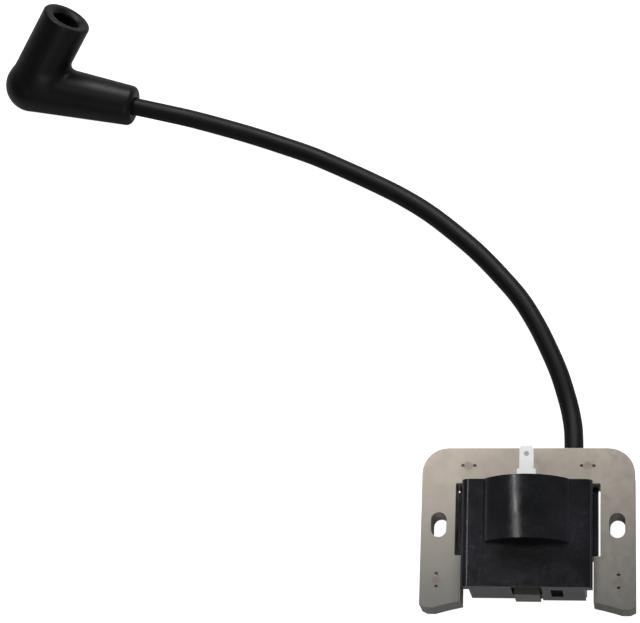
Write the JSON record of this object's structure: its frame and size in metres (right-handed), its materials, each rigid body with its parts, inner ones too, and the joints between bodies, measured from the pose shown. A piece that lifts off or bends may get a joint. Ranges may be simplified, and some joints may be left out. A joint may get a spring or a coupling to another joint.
{
  "type": "ignition coil",
  "caption": "Flywheel magneto ignition coil for a small engine: laminated three-pole core, potted case with a half-round bulge, kill blade, and a spark lead ending in an angled plug boot.",
  "frame": {"origin": "middle of the coil's box, without its lead and boot, at the surface that the back of the case lies on", "axes": "+Z out of the front of the core, +Y from the pole faces to the yoke, +X to the side that the lead leaves from"},
  "size_m": [0.2511, 0.2423, 0.039],
  "materials": {
    "core_steel": "bare stamped electrical steel, satin, slightly mottled",
    "case_plastic": "black glass-filled nylon, fine moulded grain",
    "potting_epoxy": "black cast epoxy, glossy with a meniscus",
    "bobbin_nylon": "natural nylon",
    "enamelled_copper": "enamelled copper wire",
    "board_laminate": "green solder mask on laminate",
    "component_black": "moulded black epoxy",
    "component_tan": "lacquered resistor body",
    "component_film": "dipped red film capacitor",
    "tinned_blade": "bright tinned brass",
    "brass_part": "plain brass",
    "lead_rubber": "black extruded insulation, slight sheen",
    "boot_rubber": "black moulded rubber, satin",
    "spring_steel": "plated spring steel"
  },
  "bodies": {
    "root": {"front_lamination": "core_steel", "core_laminations": "core_steel", "rear_lamination": "core_steel", "coil_case": "case_plastic", "potting": "potting_epoxy", "primary_bobbin": "bobbin_nylon", "primary_winding": "enamelled_copper", "secondary_bobbin": "bobbin_nylon", "secondary_winding": "enamelled_copper", "trigger_bobbin": "bobbin_nylon", "trigger_winding": "enamelled_copper", "circuit_board": "board_laminate", "power_transistor": "component_black", "driver_transistor": "component_black", "board_resistors": "component_tan", "board_diode": "component_black", "board_capacitor": "component_film", "kill_terminal": "tinned_blade", "ground_strap": "brass_part", "lead_socket": "brass_part", "lead_sleeve": "boot_rubber", "ht_lead": "lead_rubber", "plug_boot": "boot_rubber", "plug_clip": "spring_steel", "clip_spring": "spring_steel", "lead_crimp": "brass_part"}
  },
  "joints": []
}
